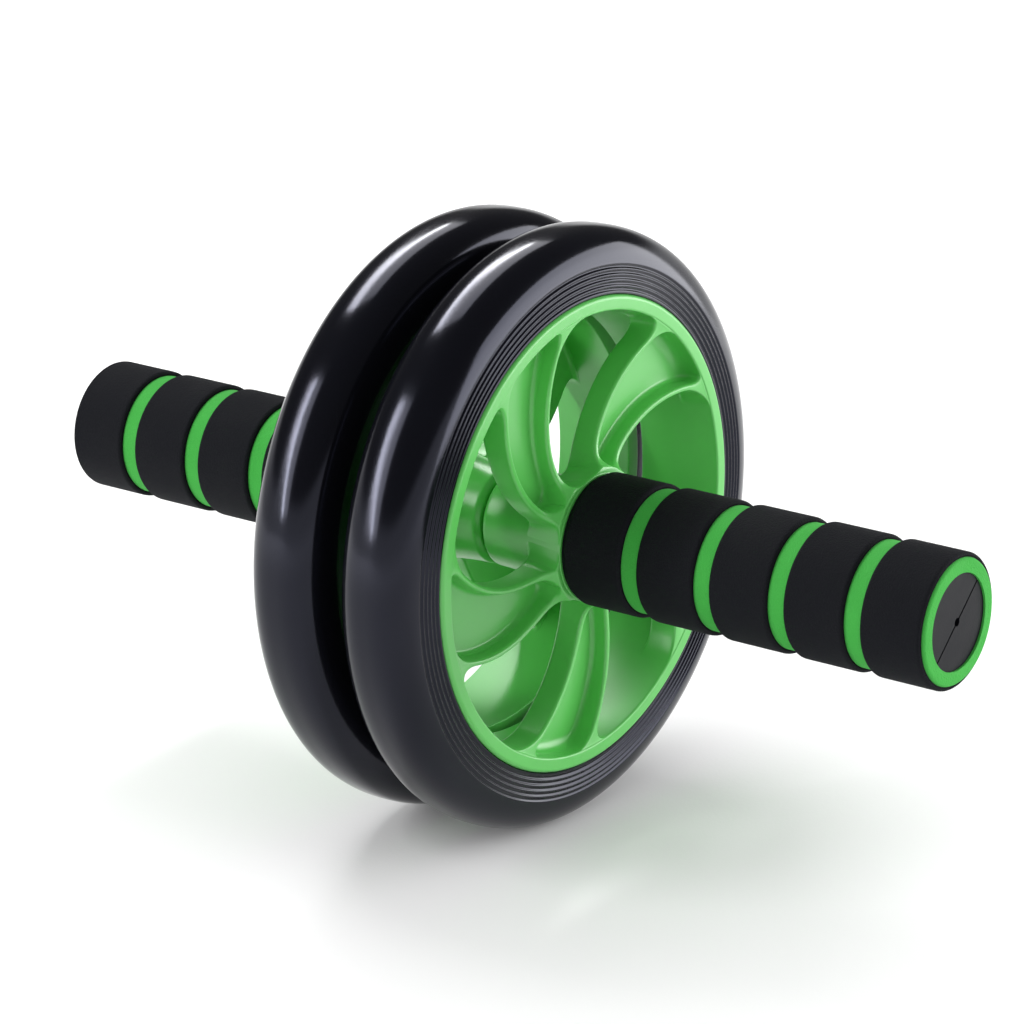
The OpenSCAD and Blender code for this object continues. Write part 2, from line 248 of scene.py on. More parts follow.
def toward(start: float, end: float, radius: float, steps: int, spacing: float = 1.2) -> Array:
    """Places from start to end, closer together where a fillet nears the end.

    Formula: end - s r (1 - sin b) for b from 0 to a quarter turn, where s is the sign of the
    way there, after even steps over the plain stretch.

    Args:
        start: The first place.
        end: The last place.
        radius: The fillet's radius.
        steps: Number of steps over the fillet.
        spacing: The least length of a step over the plain stretch.

    Returns:
        The places, in order from start to end.
    """
    sign = math.copysign(1.0, end - start)
    bend = end - sign * radius * (1 - np.sin(np.linspace(0, QUARTER_TURN, steps + 1)))
    plain_steps = max(2, int(abs(bend[0] - start) / spacing))
    return np.concatenate([np.linspace(start, bend[0], plain_steps, endpoint=False), bend])


# Sizes


@dataclass(frozen=True)
class Sizes:
    """The roller's main sizes in millimetres, most of them read from the frame.

    Args:
        tyre_r: Radius of the tyre.
        tyre_in: Place of its inner face along the axle.
        tyre_out: Place of its outer face.
        lip_r: Radius of the rim's outer lip.
        boss_in: Place of the boss's inner end along the axle.
        boss_out: Place of its outer end.
        sleeve_in: Place of the foam sleeve's inner end along the axle.
        sleeve_r: Outer radius of the sleeve.
        grip_end: Place of the grip's outer end.
        band_r: Outer radius of the foam bands.
        floor_z: Height of the floor under the tyres.
        seat_depth: How far the tyre's seat lies below the outer lip.
        lip_t: Thickness of the rim's lips.
        lip_proud: How far the lips stand out past the tyre's faces.
    """

    tyre_r: float
    tyre_in: float
    tyre_out: float
    lip_r: float
    boss_in: float
    boss_out: float
    sleeve_in: float
    sleeve_r: float
    grip_end: float
    band_r: float
    floor_z: float
    seat_depth: float = 1.6
    lip_t: float = 1.5
    lip_proud: float = 0.8

    @classmethod
    def from_frame(cls) -> "Sizes":
        """Reads the sizes from the corners of the frame's nodes.

        Returns:
            The sizes, with their own values where the frame doesn't show them.
        """
        tyre_low, tyre_high = (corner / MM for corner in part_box("tyre_right"))
        hub_low, hub_high = (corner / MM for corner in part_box("hub_right"))
        sleeve_low, sleeve_high = (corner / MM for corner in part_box("sleeve_right"))
        band_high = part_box("band_1_right")[1] / MM
        return cls(
            tyre_r=tyre_high.z,
            tyre_in=tyre_low.x,
            tyre_out=tyre_high.x,
            lip_r=hub_high.z,
            boss_in=hub_low.x,
            boss_out=hub_high.x,
            sleeve_in=sleeve_low.x,
            sleeve_r=sleeve_high.z,
            grip_end=sleeve_high.x,
            band_r=band_high.z,
            floor_z=tyre_low.z,
        )

    @property
    def rim_in(self) -> float:
        """Place of the rim's inner face along the axle."""
        return self.tyre_in - self.lip_proud

    @property
    def rim_out(self) -> float:
        """Place of the rim's outer face along the axle."""
        return self.tyre_out + self.lip_proud

    @property
    def seat_in(self) -> float:
        """Place of the tyre seat's inner end along the axle."""
        return self.rim_in + self.lip_t

    @property
    def seat_out(self) -> float:
        """Place of the tyre seat's outer end along the axle."""
        return self.rim_out - self.lip_t

    @property
    def seat_r(self) -> float:
        """Radius of the tyre's seat."""
        return self.lip_r - self.seat_depth

    @property
    def step_r(self) -> float:
        """Radius of the rim's inner lip, which is half as high as the outer one."""
        return self.seat_r + self.seat_depth / 2


# Materials


def linear(hex_colour: str) -> tuple[float, float, float, float]:
    """Turns an sRGB hex colour into the linear colour that a shader wants.

    Formula: each channel is ((c + 0.055) / 1.055)^2.4, or c / 12.92 where it is very dark.

    Args:
        hex_colour: The colour as #RRGGBB.

    Returns:
        The linear red, green and blue, and an alpha of 1.
    """
    channels = [int(hex_colour[i : i + 2], 16) / 255 for i in (1, 3, 5)]
    bent = [c / 12.92 if c <= 0.04045 else ((c + 0.055) / 1.055) ** 2.4 for c in channels]
    return (*bent, 1.0)


def add_node(
    tree: bpy.types.NodeTree, kind: str, settings: dict | None = None, links: dict | None = None
) -> bpy.types.Node:
    """Adds a node with its settings and links.

    Args:
        tree: The node tree that gets the node.
        kind: Blender's name for the node's type.
        settings: Attribute names, or input names or numbers, and their values.
        links: Input names or numbers, and the output sockets that feed them.

    Returns:
        The new node.
    """
    made = tree.nodes.new(kind)
    for key, value in (settings or {}).items():
        if isinstance(key, str) and hasattr(made, key):
            setattr(made, key, value)
        else:
            made.inputs[key].default_value = value
    for key, socket in (links or {}).items():
        tree.links.new(socket, made.inputs[key])
    return made


class Texture(Enum):
    """How a finish's surface was made, which decides the pattern of its relief."""

    MOULDED = "moulded"
    CELLULAR = "cellular"
    TURNED = "turned"


@dataclass(frozen=True)
class Finish:
    """A surface finish.

    Args:
        name: The material's name.
        colour: Its sRGB colour.
        second: The sRGB colour that patches of it drift towards.
        drift_mm: Size of those patches.
        roughness: Mean roughness.
        spread: How far the roughness drifts from its mean.
        grain_mm: Size of the relief's grains, pores or tool marks.
        relief_mm: Height of the relief.
        texture: How the surface was made.
        ior: Index of refraction.
        specular: Specular level, where 0.5 is what the index of refraction gives.
        tint: The sRGB colour of its reflections.
        metallic: One for a bare metal.
    """

    name: str
    colour: str
    second: str
    drift_mm: float
    roughness: float
    spread: float
    grain_mm: float
    relief_mm: float
    texture: Texture = Texture.MOULDED
    ior: float = 1.5
    specular: float = 0.5
    tint: str = "#FFFFFF"
    metallic: float = 0.0

    def material(self) -> bpy.types.Material:
        """Builds the node material once and hands out the same one after that.

        Returns:
            The material.
        """
        made = bpy.data.materials.get(self.name)
        if made is not None:
            return made
        made = bpy.data.materials.new(self.name)
        made.use_nodes = True
        tree = made.node_tree
        tree.nodes.clear()
        place = add_node(tree, "ShaderNodeTexCoord").outputs["Object"]
        drift = add_node(
            tree,
            "ShaderNodeTexNoise",
            {"Scale": 1 / (self.drift_mm * MM), "Detail": 3.0, "Roughness": 0.55},
            {"Vector": place},
        ).outputs["Fac"]
        colour = add_node(
            tree,
            "ShaderNodeMix",
            {"data_type": "RGBA", 6: linear(self.colour), 7: linear(self.second)},
            {0: drift},
        ).outputs[2]
        relief = self.relief(tree, place)
        roughness = add_node(
            tree,
            "ShaderNodeMapRange",
            {
                "From Min": 0.3,
                "From Max": 0.7,
                "To Min": self.roughness - self.spread,
                "To Max": self.roughness + self.spread,
            },
            {"Value": drift},
        ).outputs["Result"]
        bump = add_node(
            tree,
            "ShaderNodeBump",
            {"Strength": 1.0, "Distance": self.relief_mm * MM},
            {"Height": relief},
        ).outputs["Normal"]
        shader = add_node(
            tree,
            "ShaderNodeBsdfPrincipled",
            {
                "Metallic": self.metallic,
                "IOR": self.ior,
                "Specular IOR Level": self.specular,
                "Specular Tint": linear(self.tint),
            },
            {"Base Color": colour, "Roughness": roughness, "Normal": bump},
        )
        add_node(tree, "ShaderNodeOutputMaterial", {}, {"Surface": shader.outputs[0]})
        return made

    def relief(self, tree: bpy.types.NodeTree, place: bpy.types.NodeSocket) -> bpy.types.NodeSocket:
        """Adds the pattern of the finish's relief.

        Args:
            tree: The material's node tree.
            place: Object coordinates.

        Returns:
            The relief's height, from 0 to 1.
        """
        scale = 1 / (self.grain_mm * MM)
        if self.texture is Texture.CELLULAR:
            pores = add_node(
                tree, "ShaderNodeTexVoronoi", {"Scale": scale, "Randomness": 1.0}, {"Vector": place}
            ).outputs["Distance"]
            return add_node(
                tree,
                "ShaderNodeMapRange",
                {"From Min": 0.1, "From Max": 0.75, "interpolation_type": "SMOOTHSTEP"},
                {"Value": pores},
            ).outputs["Result"]
        if self.texture is Texture.TURNED:
            return add_node(
                tree,
                "ShaderNodeTexWave",
                {
                    "wave_type": "BANDS",
                    "bands_direction": "X",
                    "Scale": scale / TURN,
                    "Distortion": 1.5,
                    "Detail": 2.0,
                },
                {"Vector": place},
            ).outputs["Fac"]
        return add_node(
            tree,
            "ShaderNodeTexNoise",
            {"Scale": scale, "Detail": 2.0, "Roughness": 0.5},
            {"Vector": place},
        ).outputs["Fac"]


# Glossy injection-moulded ABS. The polished mould leaves a faint ripple, like orange peel,
# that softens what the gloss reflects.
GREEN_ABS = Finish(
    name="moulded_green_abs",
    colour="#5CC058",
    second="#55BB52",
    drift_mm=60,
    roughness=0.3,
    spread=0.03,
    grain_mm=3.0,
    relief_mm=0.01,
    ior=1.53,
    specular=0.62,
)
# Moulded thermoplastic rubber, dense black and smooth from the mould. It reflects less than a
# hard plastic and its gloss wanders a little where it has been handled.
BLACK_TPR = Finish(
    name="moulded_black_rubber",
    colour="#09090D",
    second="#0D0E13",
    drift_mm=45,
    roughness=0.14,
    spread=0.02,
    grain_mm=2.2,
    relief_mm=0.008,
    specular=0.34,
    tint="#DCDFFB",
)
# Closed-cell nitrile foam, ground to size after it is blown, so cut cells leave fine pores.
# The pores are drawn at about twice their size so that they show.
BLACK_FOAM = Finish(
    name="closed_cell_black_foam",
    colour="#101116",
    second="#15161B",
    drift_mm=18,
    roughness=0.86,
    spread=0.05,
    grain_mm=0.55,
    relief_mm=0.09,
    texture=Texture.CELLULAR,
    specular=0.15,
)
# The same foam, blown in green. Its skin is a little smoother where the bands have kept it clean.
GREEN_FOAM = Finish(
    name="closed_cell_green_foam",
    colour="#43AC46",
    second="#3AA03E",
    drift_mm=18,
    roughness=0.82,
    spread=0.05,
    grain_mm=0.55,
    relief_mm=0.09,
    texture=Texture.CELLULAR,
    specular=0.25,
)
# Injection-moulded polypropylene with a fine spark-eroded grain, so its sheen is satin.
BLACK_PP = Finish(
    name="moulded_black_polypropylene",
    colour="#0C0D12",
    second="#101117",
    drift_mm=14,
    roughness=0.45,
    spread=0.05,
    grain_mm=0.5,
    relief_mm=0.02,
    ior=1.49,
    specular=0.12,
)
# Zinc-plated steel bar, turned on a lathe: fine rings round the axle under a dull bright plate.
PLATED_STEEL = Finish(
    name="turned_zinc_plated_steel",
    colour="#B9BBC0",
    second="#A8ABB2",
    drift_mm=9,
    roughness=0.3,
    spread=0.06,
    grain_mm=0.3,
    relief_mm=0.01,
    texture=Texture.TURNED,
    metallic=1.0,
)
# Natural moulded nylon, ivory and slightly waxy.
NYLON = Finish(
    name="moulded_natural_nylon",
    colour="#E4E1D2",
    second="#DAD6C4",
    drift_mm=12,
    roughness=0.45,
    spread=0.05,
    grain_mm=0.8,
    relief_mm=0.01,
    ior=1.53,
)


def dress(piece: bpy.types.Object, finish: Finish) -> None:
    """Gives every face of a piece one finish."""
    piece.data.materials.clear()
    piece.data.materials.append(finish.material())


# Wheels


@dataclass(frozen=True)
class Tyre:
    """Solid rubber tyre: a superellipse crown on short side walls, with fine rings outside.

    Args:
        sizes: The roller's main sizes.
        side: The end of the axle that it sits on.
        side_h: Height of the plain side wall above the rim's lip.
        crown_power: Power of the crown's superellipse, where 2 is an ellipse.
        crown_steps: Number of steps over the crown.
        ring_count: Number of rings on the outer wall.
        ring_pitch: Distance from ring to ring.
        ring_depth: Depth of the valleys between them.
        ring_margin: Plain width between the lip and the first ring.
        ring_steps: Number of steps over one ring.
        ring_clear: Least distance from the last ring to the crown's next point.
        edge_round: Size of the chamfer by the outer lip.
        wall_points: Number of points up the inner side wall.
        steps: Number of steps round the axle.
    """

    sizes: Sizes
    side: Side
    side_h: float = 2.6
    crown_power: float = 2.7
    crown_steps: int = 120
    ring_count: int = 5
    ring_pitch: float = 1.7
    ring_depth: float = 0.45
    ring_margin: float = 0.8
    ring_steps: int = 14
    ring_clear: float = 0.1
    edge_round: float = 0.35
    wall_points: int = 4
    steps: int = 288

    @property
    def crown_r(self) -> float:
        """Radius at which the crown begins."""
        return self.sizes.lip_r + self.side_h

    @property
    def middle(self) -> float:
        """Place of the tyre's middle along the axle."""
        return (self.sizes.tyre_in + self.sizes.tyre_out) / 2

    @property
    def half(self) -> float:
        """Half of the tyre's width."""
        return (self.sizes.tyre_out - self.sizes.tyre_in) / 2

    @property
    def ring_from(self) -> float:
        """Radius at which the rings begin."""
        return self.sizes.lip_r + self.ring_margin

    @property
    def ring_to(self) -> float:
        """Radius at which the rings end."""
        return self.ring_from + self.ring_count * self.ring_pitch

    def half_width(self, r: Array) -> Array:
        """Half the tyre's width at each radius.

        Formula: the superellipse (w / 2) (1 - u^p)^(1 / p), where u runs from 0 at the start of
        the crown to 1 at the tread.

        Args:
            r: The radii.

        Returns:
            Half the width at each of them.
        """
        u = np.clip((r - self.crown_r) / (self.sizes.tyre_r - self.crown_r), 0, 1)
        return self.half * (1 - u**self.crown_power) ** (1 / self.crown_power)

    def crown(self) -> Array:
        """The crown, from the inner wall over the tread to the first ring.

        Formula: the points are (w / 2 cos^(2 / p) t, h sin^(2 / p) t) for t over half a turn.

        Returns:
            Rows of x and radius.
        """
        t = np.linspace(0, math.pi, self.crown_steps + 1)[1:-1]
        rise = np.abs(np.sin(t)) ** (2 / self.crown_power)
        reach = np.sign(np.cos(t)) * np.abs(np.cos(t)) ** (2 / self.crown_power)
        height = self.sizes.tyre_r - self.crown_r
        points = np.stack([self.middle - self.half * reach, self.crown_r + height * rise], axis=1)
        above_rings = points[:, 1] > self.ring_to + self.ring_clear
        return points[(points[:, 0] < self.middle) | above_rings]

    def rings(self) -> Array:
        """The ringed outer wall, from the crown down to the lip.

        Formula: each ring is a valley of depth d sin^2 between two crests on the crown's curve.

        Returns:
            Rows of x and radius.
        """
        r = np.linspace(self.ring_to, self.ring_from, self.ring_count * self.ring_steps + 1)
        valley = self.ring_depth * np.sin(math.pi * (r - self.ring_from) / self.ring_pitch) ** 2
        return np.stack([self.middle + self.half_width(r) - valley, r], axis=1)

    def outline(self) -> Array:
        """Closed outline of the tyre: its seat, inner wall, crown, ringed wall and outer corner.

        Returns:
            Rows of x and radius.
        """
        sizes = self.sizes
        seat = np.array(
            [
                [sizes.seat_out, sizes.seat_r],
                [sizes.seat_in, sizes.seat_r],
                [sizes.seat_in, sizes.step_r],
                [sizes.tyre_in, sizes.step_r],
            ]
        )
        wall_r = np.linspace(sizes.step_r + self.edge_round, self.crown_r, self.wall_points)
        inner_wall = np.stack([np.full(self.wall_points, sizes.tyre_in), wall_r], axis=1)
        corner = np.array(
            [
                [sizes.tyre_out, sizes.lip_r + self.edge_round],
                [sizes.tyre_out - self.edge_round, sizes.lip_r],
                [sizes.seat_out, sizes.lip_r],
            ]
        )
        return np.concatenate([seat, inner_wall, self.crown(), self.rings(), corner])

    def build(self) -> bpy.types.Object:
        """Makes the tyre in place of its node and lets it turn with its wheel.

        Returns:
            The tyre.
        """
        name = f"tyre_{self.side.value}"
        skin = revolve(self.outline(), self.steps).on_side(self.side)
        piece = make_object(f"{name}_rubber", [skin], crease_deg=40)
        dress(piece, BLACK_TPR)
        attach(piece, self.side.body)
        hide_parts(name)
        return piece


@dataclass(frozen=True)
class Hub:
    """Hub moulding: a flanged rim, a trumpet-shaped boss, and swept spokes with pockets.

    Args:
        sizes: The roller's main sizes.
        side: The end of the axle that it sits on.
        turn_deg: How far it is turned about the axle at rest.
        lip_round: Rounding of the rim's outer lip.
        lip_inner_round: Rounding of the rim's mouth.
        back_round: Rounding of the rim wall's inner edge.
        back_lip_round: Rounding of the inner lip.
        seat_round: Rounding of the corners that the tyre hides.
        rim_wall: Thickness of the rim wall at its mouth.
        rim_draft: How much the rim wall closes in from its mouth to its inner edge.
        rim_steps: Number of steps round the rim.
        spoke_count: Number of spokes.
        spoke_deg: Angle between the two ribs of a spoke.
        swirl_deg: Angle that a spoke sweeps through on its way to the rim.
        sweep_power: Power of the sweep's growth.
        rib_t: Thickness of a rib.
        rib_round: Rounding of its top.
        rib_draft: How much a rib thickens downwards on each side.
        rib_depth: Depth of a spoke along the axle.
        rib_drop: How far the rib tops lie below the rim's outer face.
        rim_rise: How far the rib tops climb again on their way to the rim.
        rise_len: Length over which they climb to the boss.
        top_below_boss: How far below the boss's end the highest rib tops stay.
        top_blend: Softness of the bend at their highest place.
        web_t: Thickness of the web under a pocket.
        web_round: Rounding of the spoke's back edges.
        rim_fillet: Fillet of the windows at the rim.
        boss_fillet: Fillet of the windows at the boss.
        pocket_fillet: Fillet of the pocket's corners.
        end_fillet: Fillet of the spoke's back at both ends.
        floor_round: Rounding between the pocket's floor and its sides.
        floor_fillet: Fillet of the pocket's floor at the rim.
        pocket_wall: Thickness of the wall between the pocket and the boss.
        pocket_climb: How many fillets the floor climbs at the pocket's inner end.
        pocket_climb_r: Radius of those fillets.
        least_pocket: Least half width of the pocket.
        least_foot: Least half width of its floor.
        least_room: Least height of a pocket's side.
        floor_below_top: How far below the rounding of the rib tops the floor stays.
        round_share: Largest share of the pocket's half width that its rounding takes.
        end_gap: Width of the step from the pocket to the flat top before it.
        flat_clear: Distance from the last section of the flat top to the pocket.
        even_from: How far past the pocket's inner end its even sections begin.
        even_clear: Distance between the two stretches of even sections.
        round_points: Number of points on each quarter circle of a section.
        side_points: Number of points between them up a rib's side.
        boss_sinks: How far the first sections are sunk into the boss.
        rim_sink: How far the last section is sunk into the rim wall.
        rim_zone: Share of the spoke that follows the rim wall's draft.
        boss_zone: Share of it that follows the boss's flare.
        boss_r: Radius of the boss at its inner end.
        boss_end_r: Radius at its outer end.
        boss_power: Power of its flare.
        boss_bevel: Bevel at its inner end.
        boss_edge: Rounding at its outer end.
        flare_points: Number of points along the flare.
        boss_steps: Number of steps round the boss.
        bore_r: Radius of the bushes' bore.
        recess_r: Radius of the recess at each end of the bore.
        inner_recess: Depth of the inner recess.
        outer_recess: Depth of the outer recess.
    """

    sizes: Sizes
    side: Side
    turn_deg: float
    lip_round: float = 1.3
    lip_inner_round: float = 0.7
    back_round: float = 0.4
    back_lip_round: float = 0.3
    seat_round: float = 0.12
    rim_wall: float = 3.0
    rim_draft: float = 1.2
    rim_steps: int = 288
    spoke_count: int = 5
    spoke_deg: float = 26.6
    swirl_deg: float = 26.5
    sweep_power: float = 1.4
    rib_t: float = 2.4
    rib_round: float = 1.05
    rib_draft: float = 0.25
    rib_depth: float = 7.7
    rib_drop: float = 2.2
    rim_rise: float = 1.9
    rise_len: float = 3.5
    top_below_boss: float = 0.25
    top_blend: float = 0.4
    web_t: float = 2.8
    web_round: float = 0.9
    rim_fillet: float = 8.0
    boss_fillet: float = 5.0
    pocket_fillet: float = 4.5
    end_fillet: float = 1.5
    floor_round: float = 1.8
    floor_fillet: float = 3.5
    pocket_wall: float = 2.5
    pocket_climb: float = 4.0
    pocket_climb_r: float = 1.6
    least_pocket: float = 0.25
    least_foot: float = 0.2
    least_room: float = 0.05
    floor_below_top: float = 0.3
    round_share: float = 0.9
    end_gap: float = 0.02
    flat_clear: float = 0.3
    even_from: float = 14.0
    even_clear: float = 1.0
    round_points: int = 7
    side_points: int = 4
    boss_sinks: tuple[float, float] = (2.6, 1.2)
    rim_sink: float = 0.9
    rim_zone: float = 1 / 3
    boss_zone: float = 1 / 4
    boss_r: float = 15.0
    boss_end_r: float = 20.0
    boss_power: float = 2.0
    boss_bevel: float = 1.5
    boss_edge: float = 0.5
    flare_points: int = 40
    boss_steps: int = 160
    bore_r: float = 8.5
    recess_r: float = 11.4
    inner_recess: float = 1.95
    outer_recess: float = 2.7

    @property
    def rib_top(self) -> float:
        """Height of the rib tops along the axle, where they are lowest."""
        return self.sizes.rim_out - self.rib_drop

    @property
    def rib_back(self) -> float:
        """Height of the spokes' back along the axle."""
        return self.rib_top - self.rib_depth

    def rim_radius(self, x: Array | float) -> Array | float:
        """Inner radius of the drafted rim wall: it shrinks evenly from the outer face inwards."""
        from_mouth = (self.sizes.rim_out - x) / (self.sizes.rim_out - self.sizes.rim_in)
        return self.sizes.seat_r - self.rim_wall - self.rim_draft * from_mouth

    def boss_radius(self, x: Array | float) -> Array | float:
        """Radius of the boss: its inner end's radius plus a power of the way along it."""
        along = (x - self.sizes.boss_in) / (self.sizes.boss_out - self.sizes.boss_in)
        return self.boss_r + (self.boss_end_r - self.boss_r) * np.clip(along, 0, 1) ** self.boss_power

    @property
    def wall_r(self) -> float:
        """Radius at which the middle of a spoke meets the rim wall."""
        return float(self.rim_radius((self.rib_top + self.rib_back) / 2))

    @property
    def root_r(self) -> float:
        """Radius at which a spoke leaves the boss."""
        return float(self.boss_radius(self.rib_back) + self.boss_radius(self.rib_top)) / 2

    @property
    def pocket_r(self) -> float:
        """Radius at which a pocket begins."""
        return self.root_r + self.pocket_wall

    def share(self, r: Array) -> Array:
        """The way from the boss to the rim at radius r, as a share from 0 to 1."""
        return np.clip((r - self.root_r) / (self.wall_r - self.root_r), 0, 1)

    def stations(self) -> Array:
        """Radii of a spoke's sections, close together where its fillets bend.

        The first ones and the last one are sunk into the boss and the rim wall.

        Returns:
            The radii, from the boss to the rim.
        """
        sunk = [self.root_r - sink for sink in self.boss_sinks] + [self.wall_r + self.rim_sink]
        flat = np.linspace(self.root_r, self.pocket_r - self.flat_clear, 5)
        edge = [self.pocket_r - self.end_gap]
        even_r = self.pocket_r + self.even_from
        inner = toward(even_r, self.pocket_r, self.pocket_fillet, steps=9)
        outer = toward(even_r + self.even_clear, self.wall_r, self.rim_fillet, steps=18)
        return np.unique(np.round(np.concatenate([sunk, flat, edge, inner, outer]), 4))

    def rib_walls(self, r: Array) -> tuple[Array, Array]:
        """Places of a rib's outer and inner wall across the spoke.

        Formula: half the spoke's angle times the radius, plus or minus half a rib, plus the
        fillets at the ends of the windows and of the pocket.

        Args:
            r: The radii.

        Returns:
            The outer and the inner wall's places.
        """
        to_rim, to_boss = self.wall_r - r, r - self.root_r
        middle = r * math.radians(self.spoke_deg / 2)
        outer = middle + self.rib_t / 2 + fillet(to_rim, self.rim_fillet)
        outer = outer + fillet(to_boss, self.boss_fillet)
        inner = middle - self.rib_t / 2 - fillet(to_rim, self.pocket_fillet)
        inner = inner - fillet(to_boss - self.pocket_wall, self.pocket_fillet)
        return outer, np.maximum(inner, self.least_pocket)

    def heights(self, r: Array) -> tuple[Array, Array, Array]:
        """Heights along the axle of a spoke's rib tops, pocket floor and back.

        Formula: the tops climb to the boss by an exponential and to the rim by a square, and
        stay below the boss's end by a smooth minimum, h - w ln (1 + exp ((h - t) / w)). The
        floor climbs a fillet at each end of the pocket and meets the tops before its inner end.

        Args:
            r: The radii.

        Returns:
            The heights of the tops, the floor and the back.
        """
        to_rim, to_boss = self.wall_r - r, r - self.root_r
        to_pocket = to_boss - self.pocket_wall
        climb = (self.sizes.boss_out - self.rib_top) * np.exp((self.boss_end_r - r) / self.rise_len)
        top = self.rib_top + self.rim_rise * self.share(r) ** 2 + climb
        highest = self.sizes.boss_out - self.top_below_boss
        top = highest - self.top_blend * np.logaddexp(0, (highest - top) / self.top_blend)
        back = self.rib_back - fillet(to_rim, self.end_fillet) - fillet(to_boss, self.end_fillet)
        floor = self.rib_back + self.web_t + fillet(to_rim, self.floor_fillet)
        end_climb = self.pocket_climb * fillet(to_pocket, self.pocket_climb_r)
        end_climb = np.where(to_pocket < self.end_gap, np.inf, end_climb)
        floor = np.minimum(floor + end_climb, top - self.rib_round - self.floor_below_top)
        return top, floor, back

    def rib_side(
        self,
        foot: Array,
        face: Array,
        level: Array,
        low_round: Array | float,
        top: Array,
        crest: Array | float,
    ) -> tuple[Array, Array]:
        """The line from the middle of a spoke's back or floor up one side of a rib to its top.

        Formula: a flat stretch, a quarter circle up to the wall's foot, a straight wall that
        leans from its foot to its face, and a quarter circle over on to the rib's top.

        Args:
            foot: Places of the wall's foot across the spoke, one row a section.
            face: Places of its upper end.
            level: Heights of the flat stretch.
            low_round: Radius of the lower quarter circle.
            top: Heights of the rib's top.
            crest: Width of the upper quarter circle, negative where it turns outwards.

        Returns:
            The places across the spoke and along the axle, one row a section.
        """
        quarter = np.linspace(0, QUARTER_TURN, self.round_points)
        even = np.linspace(0, 1, self.side_points + 2)[1:-1]
        flat = np.array([0.0, 0.33, 0.66])
        shoulder = top - self.rib_round
        across = [
            flat * (foot - low_round),
            foot - low_round + low_round * np.sin(quarter),
            face + (foot - face) * (1 - even),
            face - crest + crest * np.cos(quarter),
        ]
        along = [
            level + 0 * flat,
            level + low_round - low_round * np.cos(quarter),
            level + low_round + (shoulder - level - low_round) * even,
            shoulder + self.rib_round * np.sin(quarter),
        ]
        return np.concatenate(across, axis=1), np.concatenate(along, axis=1)

    def section(self, r: Array) -> tuple[Array, Array]:
        """Closed outline of a spoke at each radius: two round-topped ribs on a web.

        Formula: one side runs up the outside of a rib and down its inside to the middle of the
        pocket's floor, and the other is its mirror image. Between the pocket's inner end and
        the boss the top is flat.

        Args:
            r: The radii, one a section.

        Returns:
            The places across the spoke and along the axle, one row a section and one column a
            point round the outline. Points an equal way from the first lie opposite each other.
        """
        r = r[:, None]
        outer, inner = self.rib_walls(r)
        top, floor, back = self.heights(r)
        draft = self.rib_draft * np.clip((top - floor) / self.rib_depth, 0, 1)
        foot = np.maximum(inner - draft, self.least_foot)
        room = np.maximum(top - self.rib_round - floor, self.least_room)
        low_round = np.minimum(self.floor_round, np.minimum(self.round_share * inner, room))
        crest = np.minimum(self.rib_round, (outer - inner) / 2)
        outside = self.rib_side(outer + draft, outer, back, self.web_round, top, self.rib_round)
        inside_across, inside_along = self.rib_side(foot, inner, floor, low_round, top, -crest)
        before_pocket = r < self.pocket_r - self.end_gap / 2
        inside = inside_across, np.where(before_pocket, top, inside_along)
        across, along = (
            np.concatenate(
                [up, down[:, ::-1], mirror * down[:, 1:], mirror * up[:, :0:-1]], axis=1
            )
            for up, down, mirror in zip(outside, inside, (-1, 1))
        )
        return across, along

    def spoke(self, number: int) -> Skin:
        """One spoke, lofted along its swept centre line.

        Formula: a point s across the spoke at radius r lies at the angle
        turn + sweep (r) + s / r, and the sweep grows as a power of the way from the boss to the
        rim. The radius is stretched so that the loft's ends follow the drafted rim and the boss.

        Args:
            number: Which spoke it is, from 0.

        Returns:
            The closed spoke.
        """
        r = self.stations()
        across, x = self.section(r)
        radius = r[:, None]
        share = self.share(radius)
        sweep = -math.radians(self.swirl_deg) * share**self.sweep_power
        turn = math.radians(self.turn_deg) + TURN * number / self.spoke_count
        angle = turn + sweep + across / radius
        near_rim = np.clip(1 - (1 - share) / self.rim_zone, 0, 1) ** 2
        near_boss = np.clip(1 - share / self.boss_zone, 0, 1) ** 2
        place = radius + near_rim * (self.rim_radius(x) - self.wall_r)
        place = place + near_boss * (self.boss_radius(x) - self.root_r)
        grid = np.stack([x, place * np.cos(angle), place * np.sin(angle)], axis=-1)
        skin = Skin.from_grid(grid, wrap_rows=False, wrap_columns=True)
        return Skin(skin.points, np.concatenate([skin.faces, self.end_faces(*x.shape)]))

    @staticmethod
    def end_faces(rows: int, columns: int) -> Array:
        """Closes both ends of a loft with strips between its outside and its inside.

        The outline starts at the middle of the back. The first quarter of it runs up the outside
        of one rib and the second comes down the inside, so points an equal way from the rib's
        top lie opposite each other, and the other half is its mirror image.

        Args:
            rows: Number of sections in the loft.
            columns: Number of points round each section.

        Returns:
            The faces of both ends.
        """
        quarter = (columns + 3) // 4
        out_one = np.arange(quarter)
        in_one = 2 * quarter - 1 - out_one
        in_two = (2 * quarter - 1 + out_one) % columns
        out_two = (columns - out_one) % columns
        strips = []
        for outside, inside, flip in ((out_one, in_one, 1), (out_two, in_two, -1)):
            strip = np.stack([outside[:-1], inside[:-1], inside[1:], outside[1:]], axis=1)
            strips.append(strip[:, ::flip])
        cap = np.concatenate(strips)
        return np.concatenate([cap[:, ::-1], cap + (rows - 1) * columns])

